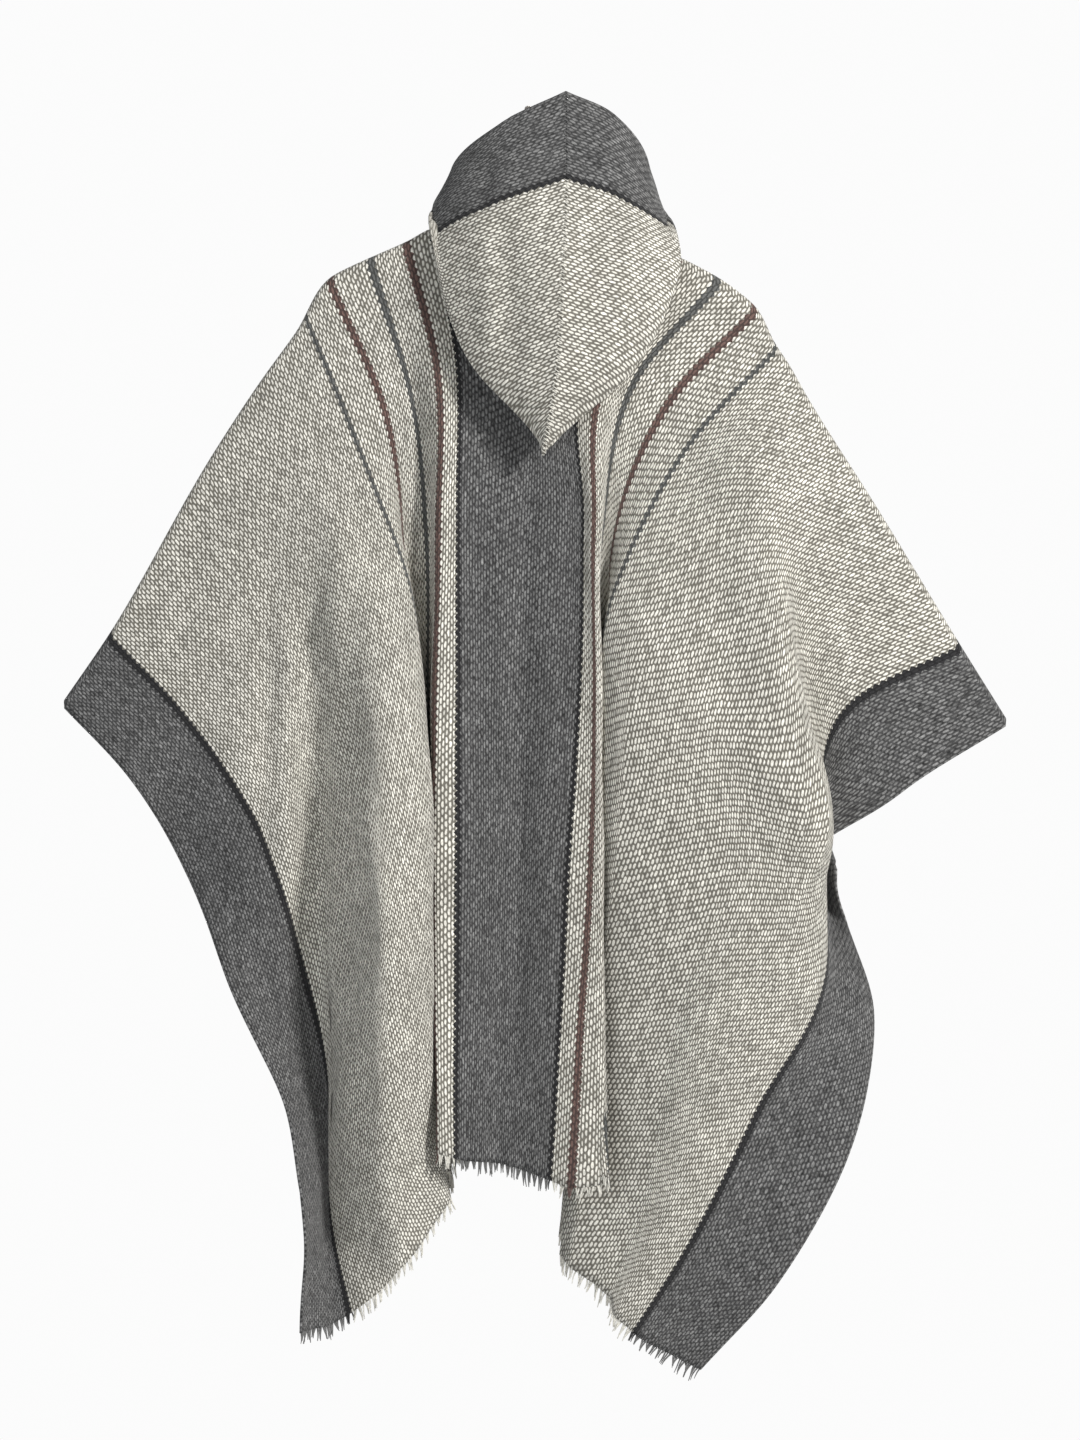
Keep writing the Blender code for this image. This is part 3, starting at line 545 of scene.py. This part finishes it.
def hang_row(lines, places, drop):
    """One row of the hanging cloth, drop below the shoulder fold on the flat web: each fold line is
    a smooth curve through its sections, and the row a smooth curve through the fold lines.
    Gives the flat places across and the (across, down, depth) points."""
    quarter = FOLD_RADIUS * math.pi / 2
    if drop < quarter:
        angle = drop / FOLD_RADIUS
        stations = lines[:, 0].copy()
        stations[:, 2] += FOLD_RADIUS * (1 - math.cos(angle))
        stations[:, 3] = FOLD_RADIUS * math.sin(angle)
    else:
        start = lines[:, 0].copy()
        start[:, 2] += FOLD_RADIUS
        start[:, 3] = FOLD_RADIUS
        below = np.concatenate((start[:, None], lines[:, 1:]), axis=1)
        stations = np.array([smooth((quarter,) + SECTIONS[1:], line, [drop])[0] for line in below])
    tuck = math.exp(-((drop - TUCK_AT) / TUCK_LENGTH) ** 2)
    stations[-1, 1] -= TUCK_ACROSS * tuck
    stations[-1, 2] += TUCK_DOWN * tuck
    web = np.interp(places, np.arange(len(lines)), stations[:, 0])
    row = smooth(stations[:, 0], stations[:, 1:], web)
    row[:, 2] = np.maximum(row[:, 2], min(drop, DEPTH_LEAST))
    opened = np.clip(1 - (web / NECK_HALF) ** 2, 0, 1) * math.exp(-(drop / NECK_FADE) ** 2)
    row[:, 2] += (NECK_OPEN - row[:, 2]) * opened
    return web, row


def crease_rise(grid, creases, fades):
    """How far each point is pushed along its normal. A crease is a bell-shaped trough or ridge
    round its line: rise * exp(-(distance / width)^2). Where it fades, that is multiplied by
    sin(pi * share of the line)^0.6, which goes to nothing at its two ends."""
    rise = np.zeros(grid.shape[:2])
    for crease in creases:
        start = np.array(crease.start, dtype=float)
        run = np.array(crease.end, dtype=float) - start
        share = np.clip(((grid[..., :2] - start) @ run) / (run @ run), 0, 1)
        away = np.linalg.norm(grid[..., :2] - start - share[..., None] * run, axis=-1)
        fade = np.sin(math.pi * share) ** CREASE_FADE if fades else 1.0
        rise += crease.rise * np.exp(-((away / crease.width) ** 2)) * fade
    return rise


def web_half(front):
    """One half of the web as three grids in millimetres: the hanging points, the flat place
    across the web and the flat distance below the shoulder fold. On the front, columns inside
    the neck start at the slit's edge: slit * (1 - |across| / half the neck) lower."""
    lines = fold_lines(front)
    flat = lines[:, 0, 0]
    counts = np.maximum(2, np.round(np.diff(flat) / COLUMN_WIDTH)).astype(int)
    places = np.array([k + j / count for k, count in enumerate(counts) for j in range(count)] + [len(flat) - 1])
    quarter = FOLD_RADIUS * math.pi / 2
    below = np.linspace(quarter, WEB_DROP, DROP_ROWS + 1)[1:]
    drops = np.concatenate((np.linspace(0, quarter, FOLD_STEPS + 1), below))
    rows = [hang_row(lines, places, drop) for drop in drops]
    web = np.array([row[0] for row in rows])
    grid = np.array([row[1] for row in rows])
    fall = np.repeat(drops[:, None], len(places), axis=1)
    if front:
        at_shoulder = np.interp(places, np.arange(len(flat)), flat)
        for k in np.flatnonzero(np.abs(at_shoulder) < NECK_HALF):
            slit = NECK_SLIT * (1 - abs(at_shoulder[k]) / NECK_HALF)
            lowered = slit + (WEB_DROP - slit) * drops / WEB_DROP
            both = smooth(drops, np.column_stack((grid[:, k], web[:, k], fall[:, k])), lowered)
            grid[:, k] = both[:, :3]
            web[:, k] = both[:, 3]
            fall[:, k] = both[:, 4]
    normal = grid_normals(grid)
    hung = np.clip((fall - RIPPLE_FROM) / RIPPLE_OVER, 0, 1)
    broad = np.sin(web / BROAD_ACROSS + fall / BROAD_DOWN + BROAD_START)
    crossing = np.sin(fall / CROSS_DOWN - web / CROSS_ACROSS)
    wave = broad * crossing + FINE_SHARE * np.sin(web / FINE_ACROSS - fall / FINE_DOWN)
    near_hem = np.exp((fall - WEB_DROP) / HEM_FADE)
    hem = np.sin(web / HEM_WAVE + HEM_WANDER * np.sin(web / HEM_WANDER_LENGTH)) * near_hem
    creased = crease_rise(grid, CREASES, True) * (FRONT_CREASE if front else 1.0)
    push = (creased + RIPPLE * wave) * hung + HEM_RIPPLE * hem
    free = np.clip((grid[..., 2] - DEPTH_LEAST) / FREE_OVER, 0, 1)
    grid = grid + normal * (push * free)[..., None]
    if front:
        grid[:, :, 2] *= -1
    return grid, web, fall


back, back_web, back_fall = web_half(False)
front, front_web, front_fall = web_half(True)
rows, columns = back.shape[:2]
back_index = np.arange(rows * columns).reshape(rows, columns)
front_index = back_index + rows * columns
joined = np.abs(back_web[0]) >= NECK_HALF
front_index[0, joined] = back_index[0, joined]
web_cloth = make_cloth("web_cloth", WEB_STRIPES, WEB_HALF + 2)
web_points = np.concatenate((back.reshape(-1, 3), front.reshape(-1, 3)))
web_uv = np.concatenate((np.stack((back_web, back_fall), -1).reshape(-1, 2),
                         np.stack((front_web, -front_fall), -1).reshape(-1, 2))) * MM
used = np.ones(len(web_points), dtype=bool)
used[rows * columns + np.flatnonzero(joined)] = False
renumber = np.cumsum(used) - 1
web_faces = renumber[np.concatenate((grid_faces(back_index)[:, ::-1], grid_faces(front_index)))]
web = add_piece("web", web_points[used], web_faces, web_cloth, web_uv[used], CLOTH * MM)
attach(web, "root")
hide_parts("back", "front")


# FRINGE ON BOTH HEMS
# The warp's free ends, drawn together in threes, 6 to 15 mm long, that follow the stripes' colours.
# Each is a tapered, slightly bent thread rooted in the hem.

STRAND_PITCH = 3.1
STRAND_SIDES = 5
STRAND_STEPS = 5
STRAND_RADIUS = 0.95
STRAND_SHORT = 8.0
STRAND_LONG = 13.0
BUNCH = 3
# Each strand's odd place along the hem, odd length, and how it and its bunch lean
STRAND_SHIFT = 0.3
STRAND_UNEVEN = 2.0
STRAND_SWAY = 0.07
BUNCH_SWAY = 0.11
# How deep its root is in the hem, how far and how soon it is drawn to its bunch, and its sag
STRAND_ROOT = 1.6
BUNCH_PULL = 0.62
BUNCH_BY = 1.4
STRAND_SAG = 2.2
# Its thickness at the root as a share, what it loses by the tip, and how uneven strands are
STRAND_FULL = 1.05
STRAND_TAPER = 0.6
STRAND_SPREAD = (0.85, 1.1)


def make_fringe(name, hem, above, hem_web, sign):
    """Threads along a hem: each is swept from the hem in the cloth's own direction and down, with
    neighbours drawn together in bunches. At share f of its length a thread's radius is
    STRAND_RADIUS * (STRAND_FULL - STRAND_TAPER * f^2), and it sags STRAND_SAG * f^2."""
    length = np.concatenate(([0], np.cumsum(np.linalg.norm(np.diff(hem_web[:, None], axis=0), axis=1))))
    count = int(length[-1] / STRAND_PITCH)
    at = (np.arange(count) + 0.5 + rng.uniform(-STRAND_SHIFT, STRAND_SHIFT, count)) * length[-1] / count
    root = np.column_stack([np.interp(at, length, hem[:, k]) for k in range(3)])
    toward = hem - above
    toward /= np.linalg.norm(toward, axis=1, keepdims=True)
    heading = np.column_stack([np.interp(at, length, toward[:, k]) for k in range(3)])
    u = np.interp(at, length, hem_web)
    bunch = np.arange(count) // BUNCH
    middle = np.array([root[bunch == b].mean(axis=0) for b in range(bunch[-1] + 1)])[bunch]
    long = rng.uniform(STRAND_SHORT, STRAND_LONG, bunch[-1] + 1)[bunch]
    long = long + rng.uniform(-STRAND_UNEVEN, STRAND_UNEVEN, count)
    sway = rng.normal(0, BUNCH_SWAY, (bunch[-1] + 1, 3))[bunch]
    sway = sway + rng.normal(0, STRAND_SWAY, (count, 3))
    f = np.linspace(0, 1, STRAND_STEPS + 1)[None, :, None]
    line = root[:, None] + (heading[:, None] + sway[:, None] * f) * (f * long[:, None, None] - STRAND_ROOT)
    line = line + (middle - root)[:, None] * np.minimum(1.0, BUNCH_BY * f) * BUNCH_PULL
    line[:, :, 1] += STRAND_SAG * f[:, :, 0] ** 2
    turn = np.arange(STRAND_SIDES) * 2 * math.pi / STRAND_SIDES
    side = np.cross(heading, (0.0, 0.0, 1.0))
    side /= np.linalg.norm(side, axis=1, keepdims=True)
    out = np.cross(heading, side)
    ring = side[:, None] * np.cos(turn)[None, :, None] + out[:, None] * np.sin(turn)[None, :, None]
    radius = STRAND_RADIUS * (STRAND_FULL - STRAND_TAPER * f[:, :, 0] ** 2)
    radius = radius * rng.uniform(*STRAND_SPREAD, (count, 1))
    points = line[:, :, None] + ring[:, None] * radius[:, :, None, None]
    index = np.arange(points[..., 0].size).reshape(count, STRAND_STEPS + 1, STRAND_SIDES)
    wrapped = np.roll(index, -1, axis=2)
    faces = np.stack((index[:, :-1], index[:, 1:], wrapped[:, 1:], wrapped[:, :-1]), -1).reshape(-1, 4)
    down = np.broadcast_to(sign * (WEB_DROP + f[:, :, 0] * long[:, None])[:, :, None], points.shape[:3])
    flat = np.stack((np.broadcast_to(u[:, None, None], points.shape[:3]), down), -1).reshape(-1, 2) * MM
    made = add_piece(name, points.reshape(-1, 3), faces, fringe_yarn, flat)
    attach(made, "root")
    return made


ODD_YARN_SCALE = 420.0
ODD_YARN_ONTO = (0.62, 1.12)
PLY_SCALE = 1300.0
PLY_DARK = 0.7
PLY_GAIN = 0.6


def make_yarn(name, stripes, reach):
    """Wool yarn in the stripes' colours, a little lighter or darker from thread to thread, with
    the fine uneven grain of its plies."""
    made, tree, shader = finish_material(name, 0.95, sheen=0.25)
    flat = add(tree, "ShaderNodeUVMap", uv_map="flat").outputs["UV"]
    across = calc(tree, "ABSOLUTE", add(tree, "ShaderNodeSeparateXYZ", {0: flat}).outputs[0])
    factor = calc(tree, "DIVIDE", across, reach * MM)
    bright = stripe_ramp(tree, factor, stripes, reach, lambda s: s.bright)
    shade = remap(tree, noise(tree, flat, ODD_YARN_SCALE, 2.0), TONE_SPAN, ODD_YARN_ONTO)
    ply = noise(tree, add(tree, "ShaderNodeTexCoord").outputs["Object"], PLY_SCALE, 3.0)
    ply_shade = calc(tree, "ADD", PLY_DARK, calc(tree, "MULTIPLY", ply, PLY_GAIN))
    shade = calc(tree, "MULTIPLY", shade, ply_shade)
    colour = add(tree, "ShaderNodeVectorMath", {0: bright, "Scale": shade}, operation="SCALE").outputs[0]
    tree.links.new(colour, shader.inputs["Base Color"])
    bump = add(tree, "ShaderNodeBump", {"Height": ply, "Strength": 0.6, "Distance": 0.0005})
    tree.links.new(bump.outputs["Normal"], shader.inputs["Normal"])
    return made


fringe_yarn = make_yarn("fringe_yarn", WEB_STRIPES, WEB_HALF + 2)
fringe_of_back = make_fringe("fringe_of_back", back[-1], back[-2], back_web[-1], 1)
fringe_of_front = make_fringe("fringe_of_front", front[-1], front[-2], front_web[-1], -1)
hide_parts("back_fringe")
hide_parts("front_fringe")


# HOOD
# Two halves of the same cloth, sewn along the crown, whose grain meets there at a slant. The web's
# dark border lies along the face edge and the black line makes a chevron at the crown.

HoodSection = namedtuple("HoodSection", "along crown cheek side under")
HOOD_LEFT = (
    HoodSection(0.00, (16, -17, 12), (-50, 16, 14), (-99, 62, 0), (-88, 128, -20)),
    HoodSection(0.25, (16, 74, 50), (-55, 88, 46), (-112, 100, 14), (-107, 104, -14)),
    HoodSection(0.50, (12, 172, 82), (-52, 180, 68), (-104, 174, 42), (-120, 115, 22)),
    HoodSection(0.75, (7, 268, 84), (-38, 266, 72), (-80, 256, 52), (-86, 190, 34)),
    HoodSection(1.00, (-7, 351, 58), (-6, 345, 52), (-1, 330, 48), (8, 240, 36)),
)
HOOD_RIGHT = (
    HoodSection(0.00, (16, -17, 12), (66, 8, 14), (99, 56, 0), (96, 128, -20)),
    HoodSection(0.25, (16, 74, 50), (70, 84, 44), (108, 100, 14), (104, 108, -14)),
    HoodSection(0.50, (12, 172, 82), (76, 174, 66), (128, 162, 36), (118, 124, 24)),
    HoodSection(0.75, (7, 268, 84), (54, 265, 70), (88, 257, 50), (98, 192, 34)),
    HoodSection(1.00, (-7, 351, 58), (-6, 345, 52), (-1, 330, 48), (8, 240, 36)),
)
HOOD_REACH = (0.0, 0.28, 0.55, 0.8, 1.0)
HOOD_ROWS = 61
HOOD_COLUMNS = 61
HOOD_STRIPES_REACH = 500.0
# The border's slant: how much of the flat distance is taken along the column, not the crown
EDGE_SHARE = 0.6
# A slight wave of the hood, and how far from the crown and the neck creases are left to grow
HOOD_WAVE = 0.8
HOOD_WAVE_LENGTHS = (31.0, 27.0)
CROWN_HOLD = 15.0
NECK_DEPTH, NECK_HOLD = 16.0, 12.0
NECK_SEAM = 4.7
NECK_LAP = 10.0
NECK_LAP_BY = 0.05
NECK_LIFT_BY = 0.2
HOOD_CREASES = (
    Crease("crown_left", (-62, 70), (-70, 100), 9, -2.5),
    Crease("left_cheek_trough", (-45, 130), (-38, 250), 16, -3.0),
    Crease("left_cheek_ridge", (-70, 120), (-62, 230), 14, 2.0),
    Crease("right_cheek_trough", (52, 120), (40, 250), 18, -2.5),
    Crease("right_cheek_ridge", (85, 120), (70, 220), 14, 2.0),
    Crease("point_facet", (-2, 300), (-4, 345), 9, 1.5),
)


def neck_edge(sign):
    """The neck's edge on one side of the centre: on the front from the slit, and on the back."""
    inside = np.flatnonzero((back_web[0] * sign >= -1) & (np.abs(back_web[0]) <= NECK_HALF + 3))
    order = inside[np.argsort(np.abs(back_web[0][inside]))]
    return front[0, order], back[0, order[::-1]]


def resample(points, shares):
    """Points at the given shares of a polyline's length."""
    length = np.concatenate(([0], np.cumsum(np.linalg.norm(np.diff(points, axis=0), axis=1))))
    return np.column_stack([np.interp(np.asarray(shares) * length[-1], length, points[:, k]) for k in range(3)])


def make_hood_half(name, sections, sign, node):
    """One half of the hood. Rows go from the face edge to the point and columns from the crown seam
    round the side to the neck. Flat u is EDGE_SHARE of the distance from the face edge along
    the column and the rest of it along the crown, which slants the border as on the real hood."""
    along = np.linspace(0, 1, HOOD_ROWS)
    knots = [s.along for s in sections]
    stops = [smooth(knots, [s[k] for s in sections], along) for k in range(1, 5)]
    front_neck, back_neck = neck_edge(sign)
    on_front = along < 0.5
    ends = np.concatenate((resample(front_neck, along[on_front] * 2),
                           resample(back_neck, along[~on_front] * 2 - 1)))
    ends[:, 1] -= NECK_SEAM * (1 - np.clip((along - 0.5) / NECK_LIFT_BY, 0, 1))
    ends[:, 2] += NECK_LAP * np.clip((along - 0.5) / NECK_LAP_BY, 0, 1)
    reach = np.linspace(0, 1, HOOD_COLUMNS)
    grid = np.array([smooth(HOOD_REACH, np.array(row), reach) for row in zip(*stops, ends)])
    normal = grid_normals(grid)
    column_run = np.linalg.norm(np.diff(grid, axis=0), axis=2)
    arc = np.concatenate((np.zeros((1, HOOD_COLUMNS)), np.cumsum(column_run, axis=0)))
    from_edge = EDGE_SHARE * arc + (1 - EDGE_SHARE) * arc[:, :1]
    row_run = np.linalg.norm(np.diff(grid, axis=1), axis=2)
    round_way = np.concatenate((np.zeros((HOOD_ROWS, 1)), np.cumsum(row_run, axis=1)), axis=1)
    rise = crease_rise(grid, HOOD_CREASES, False)
    wave = np.sin(from_edge / HOOD_WAVE_LENGTHS[0] + 1.0) * np.sin(round_way / HOOD_WAVE_LENGTHS[1])
    rise += HOOD_WAVE * wave
    free = np.clip(round_way / CROWN_HOLD, 0, 1) * np.clip((grid[..., 2] - NECK_DEPTH) / NECK_HOLD, 0, 1)
    faces_out = 1 if normal[HOOD_ROWS // 2, HOOD_COLUMNS // 3, 2] > 0 else -1
    grid = grid + (normal * (rise * free)[..., None]) * faces_out
    flat = np.stack((from_edge, round_way * sign), -1).reshape(-1, 2) * MM
    faces = grid_faces(np.arange(grid[..., 0].size).reshape(HOOD_ROWS, HOOD_COLUMNS))
    faces = faces if sign < 0 else faces[:, ::-1]
    made = add_piece(name, grid.reshape(-1, 3), faces, hood_cloth, flat, CLOTH * MM)
    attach(made, "root")
    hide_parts(node)
    return made, grid[:, 0], from_edge[:, 0]


hood_cloth = make_cloth("hood_cloth", HOOD_STRIPES, HOOD_STRIPES_REACH)
left_half, crown_line, crown_edge = make_hood_half("hood_half_left", HOOD_LEFT, -1, "hood_left")
right_half = make_hood_half("hood_half_right", HOOD_RIGHT, 1, "hood_right")[0]


# CROWN SEAM
# Overcast stitches of the cloth's own yarn that draw the two halves of the hood together.

STITCH_PITCH = 4.2
STITCH_REACH = 2.6
STITCH_RADIUS = 0.55
STITCH_SIDES = 6
STITCH_STEPS = 6
STITCH_SLANT = 0.32
STITCH_PROUD = 0.55
STITCH_DIP = 1.3


def make_seam(name, seam, outward, from_edge):
    """A row of short arched stitches across a seam. At f from -1 to 1 along a stitch, its thin
    tube is half the cloth + STITCH_PROUD - STITCH_DIP * f^2 above the seam's line."""
    length = np.concatenate(([0], np.cumsum(np.linalg.norm(np.diff(seam, axis=0), axis=1))))
    at = np.arange(STITCH_PITCH, length[-1] - STITCH_PITCH, STITCH_PITCH)
    centre = np.column_stack([np.interp(at, length, seam[:, k]) for k in range(3)])
    run = np.gradient(centre, axis=0)
    run /= np.linalg.norm(run, axis=1, keepdims=True)
    out = np.column_stack([np.interp(at, length, outward[:, k]) for k in range(3)])
    out /= np.linalg.norm(out, axis=1, keepdims=True)
    over = np.cross(run, out)
    over /= np.linalg.norm(over, axis=1, keepdims=True)
    f = np.linspace(-1, 1, STITCH_STEPS)
    line = (centre[:, None] + over[:, None] * (f * STITCH_REACH)[None, :, None]
            + run[:, None] * (f * STITCH_PITCH * STITCH_SLANT)[None, :, None]
            + out[:, None] * (CLOTH / 2 + STITCH_PROUD - STITCH_DIP * f**2)[None, :, None])
    turn = np.arange(STITCH_SIDES) * 2 * math.pi / STITCH_SIDES
    ring = run[:, None] * np.cos(turn)[None, :, None] + out[:, None] * np.sin(turn)[None, :, None]
    points = line[:, :, None] + ring[:, None] * STITCH_RADIUS
    index = np.arange(points[..., 0].size).reshape(len(at), STITCH_STEPS, STITCH_SIDES)
    wrapped = np.roll(index, -1, axis=2)
    faces = np.stack((index[:, :-1], index[:, 1:], wrapped[:, 1:], wrapped[:, :-1]), -1).reshape(-1, 4)
    u = np.broadcast_to(np.interp(at, length, from_edge)[:, None, None], points.shape[:3])
    flat = np.stack((u, np.broadcast_to(at[:, None, None], points.shape[:3])), -1).reshape(-1, 2) * MM
    made = add_piece(name, points.reshape(-1, 3), faces, seam_yarn, flat)
    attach(made, "root")
    return made


seam_yarn = make_yarn("seam_yarn", HOOD_STRIPES, HOOD_STRIPES_REACH)
crown_out = np.cross(np.gradient(crown_line, axis=0), (1.0, 0.0, 0.0))
crown_out *= np.where(crown_out[:, 2:] < 0, -1, 1)
crown_seam = make_seam("crown_seam", crown_line, crown_out, crown_edge)


# HANGER AND HOOK
# The solids' shapes are right and are kept: varnished beech arms, and a drawn steel wire with a
# small ball. Scales are in cycles per metre, across and along the wood or all round the wire.

RING_SCALE = (9.0, 60.0, 60.0)
RING_COUNT = 9.0
PORE_SCALE = (120.0, 1500.0, 1500.0)
PORE_SHADE = 0.5
WOOD_DARK = (0.30, 0.155, 0.065, 1.0)
WOOD_LIGHT = (0.52, 0.315, 0.150, 1.0)
DULL_SCALE = 130.0
SCRATCH_SCALE = 2200.0
WIRE_DARK = (0.30, 0.27, 0.24, 1.0)
WIRE_LIGHT = (0.60, 0.57, 0.53, 1.0)


def two_colours(tree, factor, low, high):
    """A ramp from one colour to another."""
    ramp = add(tree, "ShaderNodeValToRGB", {"Fac": factor})
    ramp.color_ramp.elements[0].color = low
    ramp.color_ramp.elements[1].color = high
    return ramp.outputs["Color"]


def make_wood(name):
    """Varnished wood: rings = pingpong(RING_COUNT * noise stretched along the arm), darkened by
    fine pores, under a clear coat."""
    made, tree, shader = finish_material(name, 0.42)
    shader.inputs["Coat Weight"].default_value = 0.35
    spot = add(tree, "ShaderNodeTexCoord").outputs["Object"]
    rings = noise(tree, stretch(tree, spot, RING_SCALE), 1.0, 4.0)
    rings = calc(tree, "PINGPONG", calc(tree, "MULTIPLY", rings, RING_COUNT), 1.0)
    pores = noise(tree, stretch(tree, spot, PORE_SCALE), 1.0, 2.0)
    grain = calc(tree, "MULTIPLY_ADD", calc(tree, "SUBTRACT", pores, 0.5), PORE_SHADE, rings)
    tree.links.new(two_colours(tree, grain, WOOD_DARK, WOOD_LIGHT), shader.inputs["Base Color"])
    bump = add(tree, "ShaderNodeBump", {"Height": pores, "Strength": 0.3, "Distance": 0.0003})
    tree.links.new(bump.outputs["Normal"], shader.inputs["Normal"])
    return made


def make_wire(name):
    """Drawn wire: a fine scratched grain and a few dull patches."""
    made, tree, shader = finish_material(name, 0.3, metallic=1.0)
    spot = add(tree, "ShaderNodeTexCoord").outputs["Object"]
    dull = noise(tree, spot, DULL_SCALE, 5.0)
    tree.links.new(two_colours(tree, dull, WIRE_DARK, WIRE_LIGHT), shader.inputs["Base Color"])
    tree.links.new(remap(tree, dull, (0.0, 1.0), (0.24, 0.5)), shader.inputs["Roughness"])
    fine = noise(tree, spot, SCRATCH_SCALE, 2.0)
    bump = add(tree, "ShaderNodeBump", {"Height": fine, "Strength": 0.2, "Distance": 0.0001})
    tree.links.new(bump.outputs["Normal"], shader.inputs["Normal"])
    return made


for node_name, coat in (("hanger", make_wood("hanger_wood")), ("hanger_hook", make_wire("hook_wire"))):
    for holder_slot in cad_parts[node_name].material_slots:
        holder_slot.material = coat
